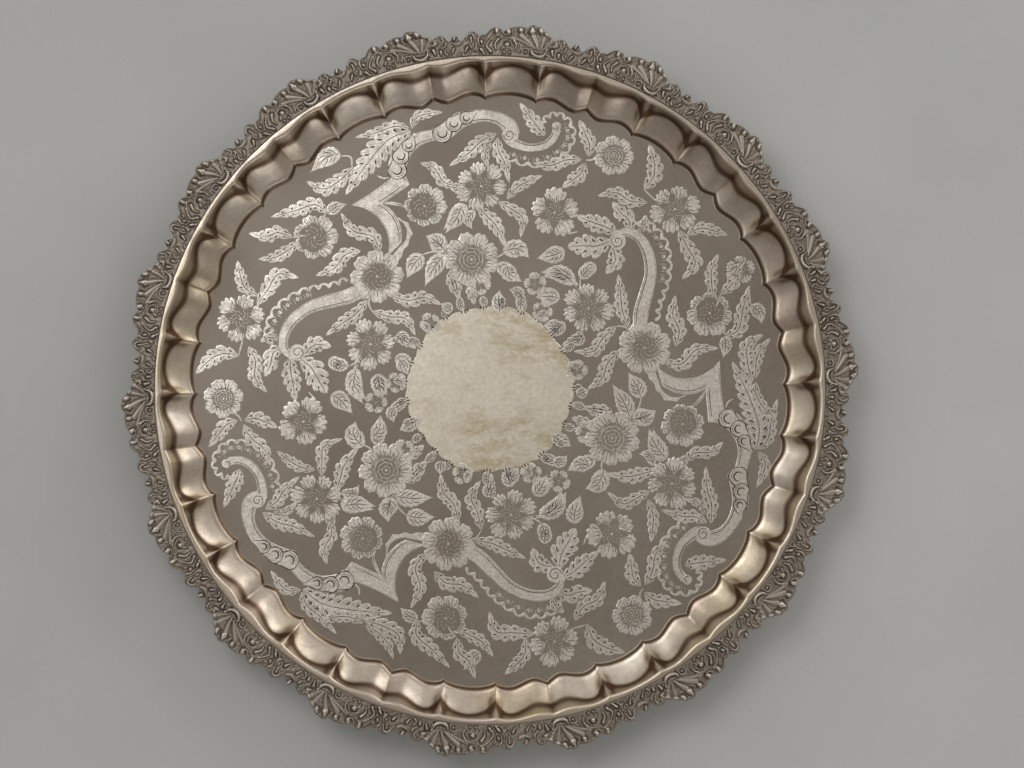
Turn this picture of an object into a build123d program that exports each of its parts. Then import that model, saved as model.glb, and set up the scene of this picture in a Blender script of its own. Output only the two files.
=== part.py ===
"""A very large round silver-plated salver that lies on four scroll feet.

The tray is one raised sheet: a flat well, a low step, a fluted rising wall and a rolled
crest with a narrow flange. Cast shell-and-scroll border sections sit end to end on the
flange. Each foot hangs under the well from its own lobed patch plate.
Millimetres, +Z up, origin on the table under the middle of the tray.
"""
from build123d import *
from math import cos, radians, sin
import os

# Heights and sheet
SHEET = 1.8  # thickness of the tray's sheet
FOOT_HEIGHT = 22.5
PATCH_THICKNESS = 1.5
WALL_RISE = 26.0  # from the well's upper face to the crest
STEP_RISE = 4.0  # the low step that frames the well
FLANGE_DROP = 2.0  # the flange lies lower than the crest

# Radii
OVERALL_RADIUS = 375.0  # tips of the border's shells
WELL_RADIUS = 302.0
CREST_INNER_RADIUS = 333.5  # the crest's ring starts inside the wall's sheet
CREST_RADIUS = 337.5
BORDER_INNER_RADIUS = 341.0
BAND_GAP = 0.5  # the crest's slope ends this far from the border
FLANGE_RADIUS = 352.0  # the sheet ends under the border

# The wall's flutes: three panels, each 10 degrees wide, repeat round the rim
GROUPS = 12
PANELS_PER_GROUP = 3
PANEL_ANGLE = 360 / (GROUPS * PANELS_PER_GROUP)
FLUTE_START = 21.0  # angle of the first inward cusp
CUSP_OFFSETS = (-2.0, -2.0, 2.6)  # offset of the outline at each panel's start
BULGE_OFFSETS = (3.4, -0.6, -0.6)  # offset of the outline at each panel's middle
UNDER_OFFSET = 1.5  # the wall's lower face stands this far outside its upper face

# Border sections
BORDER_SECTIONS = 18
SECTION_ANGLE = 360 / BORDER_SECTIONS
SECTION_GAP = 0.03  # degrees left at each end, the solder line
SHELL_ANGLE = 1.8  # angle of the first shell's root
CASTING_BASE = 2.6  # thickness of a section's ground
SCROLL_HEIGHT = 4.4
RIB_HEIGHT = 5.2
SCROLL_WIDTH = 2.2

# Feet
FEET = 4
FIRST_FOOT_ANGLE = 45.0
FOOT_CIRCLE = 250.0  # radius on which the soles stand
FOOT_WIDTH = 20.0
TOE_RADIUS = 7.0
SOLE_LENGTH = 8.0
SOLE_DEPTH = 1.0
PAD_THICKNESS = 2.0
PAD_RADIUS = 19.0
PAD_CENTRE = FOOT_CIRCLE + 1.0  # middle of the pad and of the patch plate
PATCH_RADIUS = 26.0
PATCH_LOBES = 5
LOBE_RADIUS = 11.0

WELL_BOTTOM = FOOT_HEIGHT + PATCH_THICKNESS
WELL_TOP = WELL_BOTTOM + SHEET
CREST_Z = WELL_TOP + WALL_RISE
FLANGE_TOP = CREST_Z - FLANGE_DROP

# The wall's upper face, as radius, height above the well and depth of the flutes
WALL_LEVELS = (
    (WELL_RADIUS, 0.0, 1.0),
    (WELL_RADIUS + 4.5, STEP_RISE, 1.0),
    (WELL_RADIUS + 13.0, 9.5, 1.0),
    (WELL_RADIUS + 22.0, 15.0, 0.9),
    (WELL_RADIUS + 29.5, 21.5, 0.7),
    (WELL_RADIUS + 33.0, WALL_RISE, 0.5),
)


def polar(radius, angle):
    """The point at a radius in mm and an angle in degrees."""
    return (radius * cos(radians(angle)), radius * sin(radians(angle)))


def fluted_face(radius, height, depth):
    """A face at a height, whose rim has one arc for each of the wall's panels."""
    with BuildSketch(Plane.XY.offset(height)) as face:
        with BuildLine():
            for panel in range(GROUPS * PANELS_PER_GROUP):
                kind = panel % PANELS_PER_GROUP
                after = (kind + 1) % PANELS_PER_GROUP
                start = FLUTE_START + panel * PANEL_ANGLE
                ThreePointArc(
                    polar(radius + depth * CUSP_OFFSETS[kind], start),
                    polar(radius + depth * BULGE_OFFSETS[kind], start + PANEL_ANGLE / 2),
                    polar(radius + depth * CUSP_OFFSETS[after], start + PANEL_ANGLE),
                )
        make_face()
    return face.sketch


def add_dish(base_height, outward):
    """Adds the solid inside the wall's levels, which are moved up and outward."""
    levels = [(r + outward, base_height + h, depth) for r, h, depth in WALL_LEVELS]
    for lower, upper in zip(levels, levels[1:]):
        loft(sections=[fluted_face(*lower), fluted_face(*upper)], ruled=True)


with BuildPart() as well_hollow:
    add_dish(WELL_TOP, 0.0)

with BuildPart() as tray_body:
    add_dish(WELL_BOTTOM, UNDER_OFFSET)
    with BuildSketch(Plane.XY.offset(FLANGE_TOP - SHEET)):
        Circle(FLANGE_RADIUS)
        Circle(CREST_INNER_RADIUS, mode=Mode.SUBTRACT)
    extrude(amount=SHEET)
    with BuildSketch(Plane.XZ):
        with BuildLine():
            Polyline(
                (CREST_INNER_RADIUS, FLANGE_TOP - SHEET),
                (CREST_INNER_RADIUS, CREST_Z),
                (CREST_RADIUS, CREST_Z),
                (BORDER_INNER_RADIUS - BAND_GAP, FLANGE_TOP),
                (BORDER_INNER_RADIUS - BAND_GAP, FLANGE_TOP - SHEET),
                close=True,
            )
        make_face()
    revolve(axis=Axis.Z)
    add(well_hollow.part, mode=Mode.SUBTRACT)


# One border section, with angles counted from the root of its shell. Its outer edge is a
# row of lobes, each an arc through three (radius, angle) points.
LOBES = (
    ((358.0, -4.9), (365.5, -3.4), (361.5, -2.4)),
    ((361.5, -2.4), (371.5, -0.6), (OVERALL_RADIUS, 1.0)),
    ((OVERALL_RADIUS, 1.0), (373.6, 1.8), (370.5, 2.3)),
    ((370.5, 2.3), (371.4, 4.2), (366.5, 5.9)),
    ((366.5, 5.9), (370.0, 7.2), (363.0, 8.9)),
    ((363.0, 8.9), (366.0, 11.0), (358.0, 12.7)),
    ((358.0, 12.7), (363.0, 13.9), (358.0, 15.1)),
)
# The shell's ribs, each from a narrow root to a wide tip, with the half-widths there
RIBS = (
    ((350.0, -0.5), 0.8, (359.0, -2.0), 1.4),
    ((350.5, -0.3), 0.8, (364.0, -1.3), 1.7),
    ((351.0, 0.0), 0.8, (368.5, 0.1), 2.0),
    ((350.5, 0.3), 0.8, (368.0, 1.5), 2.0),
    ((350.0, 0.5), 0.8, (364.0, 2.9), 1.7),
)
# Scrolls and leaves, each a bar along an arc through three (radius, angle) points
SCROLLS = (
    ((348.5, -1.1), (343.0, 0.0), (348.5, 1.1)),
    ((345.5, 3.9), (352.0, 3.4), (358.0, 4.2)),
    ((345.5, 7.0), (352.0, 7.5), (358.0, 6.9)),
    ((345.0, 8.4), (352.0, 8.8), (359.0, 7.9)),
    ((346.0, 10.7), (358.5, 11.4), (349.0, 12.3)),
    ((346.0, -3.4), (353.0, -4.0), (360.0, -3.6)),
)
# Round beads as (radius, angle) and the bead's radius; the first is the rosette's ball
BEADS = (
    ((351.5, 5.4), 3.0),
    ((344.0, 5.4), 1.3),
    ((365.6, 4.4), 1.8),
    ((365.0, 7.1), 1.8),
    ((345.5, 2.1), 1.6),
    ((353.0, 9.9), 1.5),
    ((346.5, 13.6), 1.7),
    ((355.0, -2.8), 1.5),
    ((347.0, -2.2), 1.7),
)

with BuildPart() as border_master:
    section_start = LOBES[0][0][1] + SECTION_GAP
    section_end = LOBES[-1][-1][1] - SECTION_GAP
    section_middle = (section_start + section_end) / 2
    with BuildSketch(Plane.XY.offset(FLANGE_TOP)):
        with BuildLine():
            inner_start = polar(BORDER_INNER_RADIUS, section_start)
            inner_middle = polar(BORDER_INNER_RADIUS, section_middle)
            inner_end = polar(BORDER_INNER_RADIUS, section_end)
            ThreePointArc(inner_start, inner_middle, inner_end)
            Line(inner_start, polar(LOBES[0][0][0], section_start))
            Line(inner_end, polar(LOBES[-1][-1][0], section_end))
            for lobe_start, lobe_middle, lobe_end in LOBES:
                ThreePointArc(
                    polar(lobe_start[0], max(lobe_start[1], section_start)),
                    polar(*lobe_middle),
                    polar(lobe_end[0], min(lobe_end[1], section_end)),
                )
        make_face()
    extrude(amount=CASTING_BASE)
    for root, root_width, tip, tip_width in RIBS:
        with BuildSketch(Plane.XY.offset(FLANGE_TOP)):
            with Locations(polar(*root)):
                Circle(root_width)
            with Locations(polar(*tip)):
                Circle(tip_width)
            make_hull()
        extrude(amount=RIB_HEIGHT)
    for scroll in SCROLLS:
        bar = Edge.make_three_point_arc(*[polar(*point) for point in scroll])
        with BuildSketch(Plane.XY.offset(FLANGE_TOP)):
            SlotArc(bar, height=SCROLL_WIDTH)
        extrude(amount=SCROLL_HEIGHT)
    for place, bead_radius in BEADS:
        with Locations((*polar(*place), FLANGE_TOP + CASTING_BASE)):
            Sphere(bead_radius, arc_size1=0)

border_parts = []
for index in range(BORDER_SECTIONS):
    with BuildPart() as border_section:
        add(border_master.part, rotation=(0, 0, SHELL_ANGLE + index * SECTION_ANGLE))
    border_section.part.label = f"border_{index + 1:02d}"
    border_parts.append(border_section.part)


# One foot, made on +X: a scroll that stands on its toe and spreads to a pad at the top
with BuildPart() as foot_master:
    pad_under = FOOT_HEIGHT - PAD_THICKNESS
    toe_front = (FOOT_CIRCLE + TOE_RADIUS, TOE_RADIUS)
    toe_back = (FOOT_CIRCLE - 1.0, 2 * TOE_RADIUS - 0.5)
    knee_front = (FOOT_CIRCLE + 15.0, pad_under)
    knee_back = (FOOT_CIRCLE - 13.0, pad_under)
    with BuildSketch(Plane.XZ):
        with BuildLine():
            Line(knee_back, knee_front)
            ThreePointArc(knee_front, (FOOT_CIRCLE + 13.0, 13.0), toe_front)
            Line(toe_front, toe_back)
            ThreePointArc(toe_back, (FOOT_CIRCLE - 5.0, 17.0), knee_back)
        make_face()
        with Locations((FOOT_CIRCLE, TOE_RADIUS)):
            Circle(TOE_RADIUS)
        with Locations((FOOT_CIRCLE, SOLE_DEPTH)):
            Rectangle(SOLE_LENGTH, 2 * SOLE_DEPTH)
    extrude(amount=FOOT_WIDTH / 2, both=True)
    with BuildSketch(Plane.XY.offset(pad_under)):
        with Locations((PAD_CENTRE, 0)):
            Circle(PAD_RADIUS)
    extrude(amount=PAD_THICKNESS)

# The patch plate over a foot: a round plate whose rim has lobes like a leaf's
with BuildPart() as patch_master:
    with BuildSketch(Plane.XY.offset(FOOT_HEIGHT)):
        with Locations((PAD_CENTRE, 0)):
            Circle(PATCH_RADIUS)
            with PolarLocations(PATCH_RADIUS - 1.0, PATCH_LOBES):
                Circle(LOBE_RADIUS)
    extrude(amount=PATCH_THICKNESS)

foot_parts = []
for index in range(FEET):
    turn = (0, 0, FIRST_FOOT_ANGLE + index * 360 / FEET)
    with BuildPart() as foot:
        add(foot_master.part, rotation=turn)
    foot.part.label = f"foot_{index + 1}"
    with BuildPart() as foot_plate:
        add(patch_master.part, rotation=turn)
    foot_plate.part.label = f"foot_plate_{index + 1}"
    foot_parts.extend([foot.part, foot_plate.part])

tray_body.part.label = "tray_body"
os.makedirs("parts", exist_ok=True)
for piece in [tray_body.part, *border_parts, *foot_parts]:
    export_step(piece, f"parts/{piece.label}.step")
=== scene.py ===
"""Looks for the silver salver: its raised sheet, cast border, feet and engraving.

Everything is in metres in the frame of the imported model. Lengths in the tables below are
in millimetres and angles in degrees, counted anticlockwise from +X seen from above.
"""
import math

import bmesh
import bpy
import numpy as np
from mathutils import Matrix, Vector


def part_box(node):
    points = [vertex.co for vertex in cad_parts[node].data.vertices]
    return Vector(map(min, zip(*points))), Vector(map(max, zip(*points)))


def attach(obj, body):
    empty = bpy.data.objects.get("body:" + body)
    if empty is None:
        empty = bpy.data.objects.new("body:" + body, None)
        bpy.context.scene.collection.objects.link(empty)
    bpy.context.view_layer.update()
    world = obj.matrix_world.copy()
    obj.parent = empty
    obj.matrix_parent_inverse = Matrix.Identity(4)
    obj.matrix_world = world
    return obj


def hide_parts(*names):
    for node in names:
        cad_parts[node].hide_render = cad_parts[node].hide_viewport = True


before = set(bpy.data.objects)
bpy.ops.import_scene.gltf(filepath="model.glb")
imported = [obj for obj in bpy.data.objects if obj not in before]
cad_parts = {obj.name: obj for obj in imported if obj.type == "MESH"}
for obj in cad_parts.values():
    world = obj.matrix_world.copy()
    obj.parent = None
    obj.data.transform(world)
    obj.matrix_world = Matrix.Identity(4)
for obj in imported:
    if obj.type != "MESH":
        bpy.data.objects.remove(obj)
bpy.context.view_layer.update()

MM = 0.001
MERGE_DISTANCE = 1e-7  # in metres

# Heights and radii in millimetres, all but the sheet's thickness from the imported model
TRAY_LOW, TRAY_HIGH = (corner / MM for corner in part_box("tray_body"))
BORDER_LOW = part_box("border_01")[0] / MM
SHEET = 1.8
WELL_TOP = TRAY_LOW.z + SHEET
CREST_RISE = TRAY_HIGH.z - WELL_TOP
FLANGE_RISE = BORDER_LOW.z - WELL_TOP
FLANGE_RADIUS = TRAY_HIGH.x


# ---------------------------------------------------------------- mesh helpers

def make_piece(name, points, faces, material, node=None):
    """A smooth mesh from points in mm, which rides on the tray and may replace a node."""
    mesh = bpy.data.meshes.new(name)
    mesh.from_pydata((np.asarray(points, float) * MM).tolist(), [], faces)
    mesh.polygons.foreach_set("use_smooth", [True] * len(mesh.polygons))
    mesh.update()
    piece = bpy.data.objects.new(name, mesh)
    bpy.context.scene.collection.objects.link(piece)
    mesh.materials.append(material)
    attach(piece, "root")
    if node:
        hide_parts(node)
    return piece


def add_attribute(piece, name, values):
    """A float for each vertex, which the materials read by name."""
    attribute = piece.data.attributes.new(name, "FLOAT", "POINT")
    attribute.data.foreach_set("value", np.asarray(values, np.float32))


def grid_faces(rows, columns, closed=False):
    """Quads over a grid of points stored row by row; closed joins the last column to the first."""
    faces = []
    last = columns if closed else columns - 1
    for row in range(rows - 1):
        for column in range(last):
            right = (column + 1) % columns
            low = row * columns
            high = low + columns
            faces.append((low + column, low + right, high + right, high + column))
    return faces


def face_outward(piece, merge=True):
    """Turns every face outward; merge first joins the points that coincide."""
    work = bmesh.new()
    work.from_mesh(piece.data)
    if merge:
        bmesh.ops.remove_doubles(work, verts=work.verts, dist=MERGE_DISTANCE)
    bmesh.ops.recalc_face_normals(work, faces=work.faces)
    work.to_mesh(piece.data)
    work.free()


def smoothstep(t):
    """Rises smoothly from 0 at 0 to 1 at 1, and is level outside."""
    t = np.clip(t, 0.0, 1.0)
    return t * t * (3 - 2 * t)


def around(reach, turn, middle=(0.0, 0.0)):
    """Points (x, y) at a distance and an angle in radians from a middle."""
    return np.stack([middle[0] + reach * np.cos(turn), middle[1] + reach * np.sin(turn)], -1)


def turned(points, angle, lift=0.0):
    """Points turned about the tray's axis by an angle in degrees, and lifted."""
    turn = math.radians(angle)
    x, y, z = np.asarray(points, float).reshape(-1, 3).T
    across = x * math.cos(turn) - y * math.sin(turn)
    return np.stack([across, x * math.sin(turn) + y * math.cos(turn), z + lift], 1)


# ---------------------------------------------------------------- materials

class Nodes:
    """Short calls for building a material's node tree."""

    def __init__(self, name):
        self.material = bpy.data.materials.new(name)
        self.material.use_nodes = True
        self.tree = self.material.node_tree
        self.shader = self.tree.nodes["Principled BSDF"]

    def add(self, kind, **settings):
        node = self.tree.nodes.new(kind)
        for key, value in settings.items():
            if key in node.inputs:
                node.inputs[key].default_value = value
            else:
                setattr(node, key, value)
        return node

    def link(self, source, target):
        self.tree.links.new(source, target)

    def place(self):
        return self.add("ShaderNodeTexCoord").outputs["Object"]

    def noise(self, scale, detail=4.0, roughness=0.55, stretch=None):
        """Noise on the object's own coordinates.

        stretch is (turn, share): a share under 1 draws the noise out along X, and the turn
        comes after that, so it only picks another part of the noise.
        """
        node = self.add("ShaderNodeTexNoise")
        node.inputs["Scale"].default_value = scale
        node.inputs["Detail"].default_value = detail
        node.inputs["Roughness"].default_value = roughness
        place = self.place()
        if stretch:
            mapping = self.add("ShaderNodeMapping")
            mapping.inputs["Rotation"].default_value = (0.0, 0.0, math.radians(stretch[0]))
            mapping.inputs["Scale"].default_value = (stretch[1], 1.0, 1.0)
            self.link(place, mapping.inputs["Vector"])
            place = mapping.outputs["Vector"]
        self.link(place, node.inputs["Vector"])
        return node.outputs["Fac"]

    def read(self, name):
        return self.add("ShaderNodeAttribute", attribute_name=name).outputs["Fac"]

    def ramp(self, value, *stops):
        node = self.add("ShaderNodeValToRGB")
        while len(node.color_ramp.elements) < len(stops):
            node.color_ramp.elements.new(0.5)
        for element, (position, color) in zip(node.color_ramp.elements, stops):
            element.position = position
            if isinstance(color, (int, float)):
                color = (color, color, color)
            element.color = (*color, 1.0)
        self.link(value, node.inputs["Fac"])
        return node.outputs["Color"]

    def math(self, operation, first, second=None, clamp=False):
        node = self.add("ShaderNodeMath", operation=operation, use_clamp=clamp)
        for socket, value in zip(node.inputs, (first, second)):
            if value is None:
                continue
            if isinstance(value, (int, float)):
                socket.default_value = value
            else:
                self.link(value, socket)
        return node.outputs["Value"]

    def mix(self, factor, first, second, blend="MIX"):
        node = self.add("ShaderNodeMix", data_type="RGBA", blend_type=blend)
        for socket, value in ((node.inputs[0], factor), (node.inputs[6], first), (node.inputs[7], second)):
            if isinstance(value, (int, float)):
                socket.default_value = value
            elif isinstance(value, tuple):
                socket.default_value = (*value, 1.0)
            else:
                self.link(value, socket)
        return node.outputs[2]

    def bump(self, height, distance, strength=1.0):
        node = self.add("ShaderNodeBump")
        node.inputs["Distance"].default_value = distance
        node.inputs["Strength"].default_value = strength
        self.link(height, node.inputs["Height"])
        self.link(node.outputs["Normal"], self.shader.inputs["Normal"])

    def finish(self, color, roughness, metallic=1.0):
        self.link(color, self.shader.inputs["Base Color"])
        self.link(roughness, self.shader.inputs["Roughness"])
        self.shader.inputs["Metallic"].default_value = metallic
        return self.material


def tray_silver():
    """The sheet: matte tarnished ground on the well and a warm polish on the wall, with painted shade (partly
    tarnish) and painted highlights laid on the wall from a vertex attribute.
    """
    n = Nodes("tray_silver")
    cloud = n.noise(9.0, 5.0)
    fine = n.noise(240.0, 3.0)
    ground = n.ramp(cloud, (0.3, (0.232, 0.191, 0.151)), (0.7, (0.312, 0.267, 0.219)))
    ground = n.mix(0.12, ground, n.ramp(fine, (0.35, 0.14), (0.65, 0.36)))
    polish = n.ramp(
        cloud,
        (0.28, (0.50, 0.42, 0.34)),
        (0.5, (0.62, 0.545, 0.46)),
        (0.75, (0.70, 0.635, 0.56)),
    )
    stain = n.ramp(n.noise(6.0, 6.0, 0.65), (0.50, 0.0), (0.64, 0.65))
    polish = n.mix(stain, polish, (0.62, 0.52, 0.31))
    blush = n.ramp(n.noise(11.0, 4.0, 0.6), (0.58, 0.0), (0.68, 0.35))
    polish = n.mix(blush, polish, (0.52, 0.37, 0.29))
    worn = n.ramp(n.noise(85.0, 6.0, 0.7), (0.40, 0.0), (0.68, 0.55))
    polish = n.mix(worn, polish, (0.38, 0.315, 0.25))
    scratch = n.ramp(n.noise(330.0, 3.0, 0.6), (0.52, 0.0), (0.7, 0.5))
    polish = n.mix(scratch, polish, (0.72, 0.65, 0.57))
    painted_light_and_tarnish = n.read("painted_light_and_tarnish")
    # a yellow tint in patches where the painted shade fades out at the edges of its dark bands
    fringe = n.ramp(painted_light_and_tarnish, (0.0, 0.0), (0.22, 0.6), (0.6, 0.0))
    yellow_fringe = n.math("MULTIPLY", fringe, n.ramp(n.noise(8.0, 4.0, 0.6), (0.38, 0.1), (0.6, 1.0)))
    polish = n.mix(yellow_fringe, polish, (0.66, 0.53, 0.29))
    # painted shade, partly tarnish: positive values darken the wall to a dark reddish brown
    polish = n.mix(n.math("MAXIMUM", painted_light_and_tarnish, 0.0), polish, (0.125, 0.072, 0.042))
    # painted highlight: negative values lighten the wall, on the crest and near the step's edge
    polish = n.mix(n.math("MULTIPLY", painted_light_and_tarnish, -1.6, clamp=True), polish, (0.52, 0.44, 0.36))
    wall = n.read("wall")
    color = n.mix(wall, ground, polish)
    matte = n.ramp(fine, (0.3, 0.46), (0.7, 0.56))
    shine = n.math("ADD", n.ramp(cloud, (0.3, 0.25), (0.7, 0.33)), n.math("MULTIPLY", worn, 0.18))
    roughness = n.mix(wall, matte, shine)
    n.bump(n.math("ADD", n.math("MULTIPLY", fine, 0.2), n.noise(26.0, 4.0)), 0.0005, 0.3)
    return n.finish(color, roughness)


def medallion_silver():
    """The plain burnished middle, pale with patches and streaks of yellow tarnish."""
    n = Nodes("medallion_silver")
    patch = n.noise(14.0, 5.0, 0.6, (22, 0.55))
    streak = n.noise(70.0, 8.0, 0.8, (22, 0.5))
    fine = n.noise(260.0, 4.0, 0.65)
    color = n.ramp(fine, (0.3, (0.62, 0.56, 0.465)), (0.7, (0.80, 0.735, 0.63)))
    grey = n.ramp(n.noise(30.0, 6.0, 0.7), (0.50, 0.0), (0.68, 0.45))
    color = n.mix(grey, color, (0.60, 0.56, 0.48))
    patches = n.ramp(patch, (0.46, 0.08), (0.62, 1.0))
    tarnish = n.math("MULTIPLY", patches, n.ramp(streak, (0.44, 0.0), (0.60, 1.0)))
    color = n.mix(n.math("MULTIPLY", tarnish, 0.8), color, (0.42, 0.335, 0.18))
    roughness = n.ramp(streak, (0.3, 0.36), (0.7, 0.48))
    n.bump(n.noise(60.0, 4.0), 0.0004, 0.25)
    return n.finish(color, roughness)


def border_silver():
    """Cast silver: dark oxide in the recesses and worn bright metal on the high relief."""
    n = Nodes("border_silver")
    height = n.read("relief")
    cloud = n.noise(14.0, 5.0)
    mixed = n.math("ADD", height, n.math("MULTIPLY", n.math("SUBTRACT", cloud, 0.5), 0.25))
    color = n.ramp(
        mixed,
        (0.06, (0.085, 0.066, 0.051)),
        (0.24, (0.28, 0.238, 0.198)),
        (0.55, (0.39, 0.342, 0.296)),
        (0.93, (0.55, 0.50, 0.445)),
    )
    roughness = n.ramp(mixed, (0.15, 0.55), (0.6, 0.42), (0.9, 0.36))
    n.bump(n.noise(420.0, 3.0), 0.0003, 0.35)
    return n.finish(color, roughness)


def foot_silver():
    """Cast and polished, with patches of dark oxide and of worn bright metal."""
    n = Nodes("foot_silver")
    cloud = n.noise(60.0, 5.0)
    color = n.ramp(cloud, (0.3, (0.24, 0.20, 0.165)), (0.6, (0.50, 0.45, 0.395)), (0.8, (0.62, 0.57, 0.51)))
    roughness = n.ramp(cloud, (0.3, 0.5), (0.75, 0.28))
    n.bump(n.noise(500.0, 3.0), 0.0003, 0.4)
    return n.finish(color, roughness)


def engraved_silver():
    """The bright-cut motifs: polished, finely scratched and dulled here and there."""
    n = Nodes("engraved_silver")
    cloud = n.noise(7.0, 4.0)
    fine = n.noise(420.0, 4.0, 0.65)
    dull = n.noise(95.0, 5.0, 0.65)
    color = n.ramp(
        cloud,
        (0.3, (0.71, 0.637, 0.537)),
        (0.55, (0.80, 0.735, 0.64)),
        (0.75, (0.86, 0.803, 0.715)),
    )
    color = n.mix(n.ramp(dull, (0.42, 0.0), (0.64, 0.7)), color, (0.44, 0.375, 0.30))
    color = n.mix(n.ramp(n.noise(24.0, 5.0, 0.6), (0.45, 0.0), (0.7, 0.55)), color, (0.52, 0.45, 0.35))
    color = n.mix(0.3, color, n.ramp(fine, (0.35, 0.16), (0.62, 0.95)))
    roughness = n.ramp(dull, (0.35, 0.30), (0.65, 0.46))
    n.bump(n.math("ADD", fine, n.math("MULTIPLY", dull, 1.5)), 0.0003, 0.45)
    return n.finish(color, roughness)


def cut_silver():
    """Cut lines, filled with dark tarnish."""
    n = Nodes("cut_silver")
    cloud = n.noise(120.0, 3.0)
    color = n.ramp(cloud, (0.3, (0.055, 0.044, 0.035)), (0.7, (0.12, 0.10, 0.083)))
    return n.finish(color, n.ramp(cloud, (0.3, 0.5), (0.7, 0.65)))


def plate_silver():
    """The patch plates under the well: dull, with stains and fine scratches."""
    n = Nodes("plate_silver")
    cloud = n.noise(45.0, 5.0, 0.6)
    scratch = n.noise(300.0, 3.0)
    color = n.ramp(cloud, (0.3, (0.30, 0.25, 0.20)), (0.55, (0.44, 0.385, 0.325)), (0.75, (0.52, 0.47, 0.41)))
    color = n.mix(0.15, color, n.ramp(scratch, (0.4, 0.2), (0.6, 0.6)))
    n.bump(scratch, 0.0002, 0.3)
    return n.finish(color, n.ramp(cloud, (0.3, 0.5), (0.7, 0.36)))


TRAY_METAL = tray_silver()
PLATE_METAL = plate_silver()
CUT_METAL = cut_silver()
BORDER_METAL = border_silver()
FOOT_METAL = foot_silver()
ENGRAVED_METAL = engraved_silver()
MEDALLION_METAL = medallion_silver()


# ---------------------------------------------------------------- the sheet

WALL_PERIOD = 30.0
RIDGE_ANGLE = 11.0  # an outward cusp of the wall's outline stands here
# Distance from that cusp in degrees, and the radius there of the step's foot, the place
# where the wall steepens, and the crest
OUTLINE_STEPS = (0.0, 2.5, 7.2, 10.0, 15.0)
FOOT_RADII = (304.8, 298.6, 305.0, 299.6, 305.2)
BEND_RADII = (325.0, 320.5, 331.6, 309.5, 332.4)
CREST_RADII = (338.0, 335.4, 338.6, 336.2, 338.4)
CREST_END = 340.8  # the crest rolls down here, against the cast border
STEP_WIDTH = 4.6
STEP_RISE = 4.0
SHEET_TURNS = 1080  # points round each ring of the sheet
WALL_ROWS = 24
WELL_RINGS = (0.0, 120.0, 210.0, 276.0)  # radii of the rings on the flat well
# The step's rings: distance outside its foot, height, share of wall polish, and painted light: painted shade,
# partly tarnish, darkens the foot and the step's wall, and a negative value paints a highlight near its edge
STEP_RINGS = (
    (-2.0, 0.0, 0.0, 0.0),
    (-0.9, 0.06, 0.5, 0.6),
    (0.1, 0.5, 1.0, 1.0),
    (1.3, 1.7, 1.0, 0.9),
    (STEP_WIDTH - 2.0, 3.1, 1.0, 0.6),
    (STEP_WIDTH - 1.1, 3.75, 1.0, -0.1),
    (STEP_WIDTH, STEP_RISE, 1.0, 0.0),
)
# The crest's rings: distance outside its middle or share of the way to its end, drop, and painted light,
# whose negative values paint the crest's highlight
CREST_RINGS = ((-2.6, 0.95, 0.1), (-1.5, 0.22, -0.1), (-0.6, 0.05, -0.25), (0.2, 0.0, -0.35))
CREST_END_RINGS = ((0.45, 0.06, -0.35), (0.8, 0.2, -0.2), (1.0, 0.4, 0.0))
UNDER_OUT = 1.4  # the wall's lower face stands this far outside its upper face


def arch(t):
    """A quarter of a round arch: rises steeply from 0 and levels out at 1."""
    return np.sqrt(np.clip(1 - (1 - t) ** 2, 0, 1)) * 0.55 + 0.45 * t * (2 - t)


def outline(angle, radii):
    """The scalloped radius at an angle: cusps at the first and fourth place, arches between."""
    turn = (angle - RIDGE_ANGLE + WALL_PERIOD / 2) % WALL_PERIOD - WALL_PERIOD / 2
    away = np.abs(turn)
    _, s1, s2, s3, s4 = OUTLINE_STEPS
    ridge, dip, bulge, cusp, crown = radii
    pieces = [
        dip + (ridge - dip) * np.clip(1 - away / s1, 0, 1) ** 1.5,
        dip + (bulge - dip) * smoothstep((away - s1) / (s2 - s1)),
        cusp + (bulge - cusp) * arch((s3 - away) / (s3 - s2)),
        cusp + (crown - cusp) * arch((away - s3) / (s4 - s3)),
    ]
    return np.select([away < s1, away < s2, away < s3], pieces[:3], pieces[3])


def bent_line(start, corner, end, sharpness, count):
    """Points from start to end that round off a corner; start, corner, end are (radii, heights)."""
    points = []
    for t in np.linspace(0, 1, count):
        w0, w1, w2 = (1 - t) ** 2, 2 * t * (1 - t) * sharpness, t * t
        total = w0 + w1 + w2
        points.append([(w0 * a + w1 * b + w2 * c) / total for a, b, c in zip(start, corner, end)])
    return points


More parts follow.
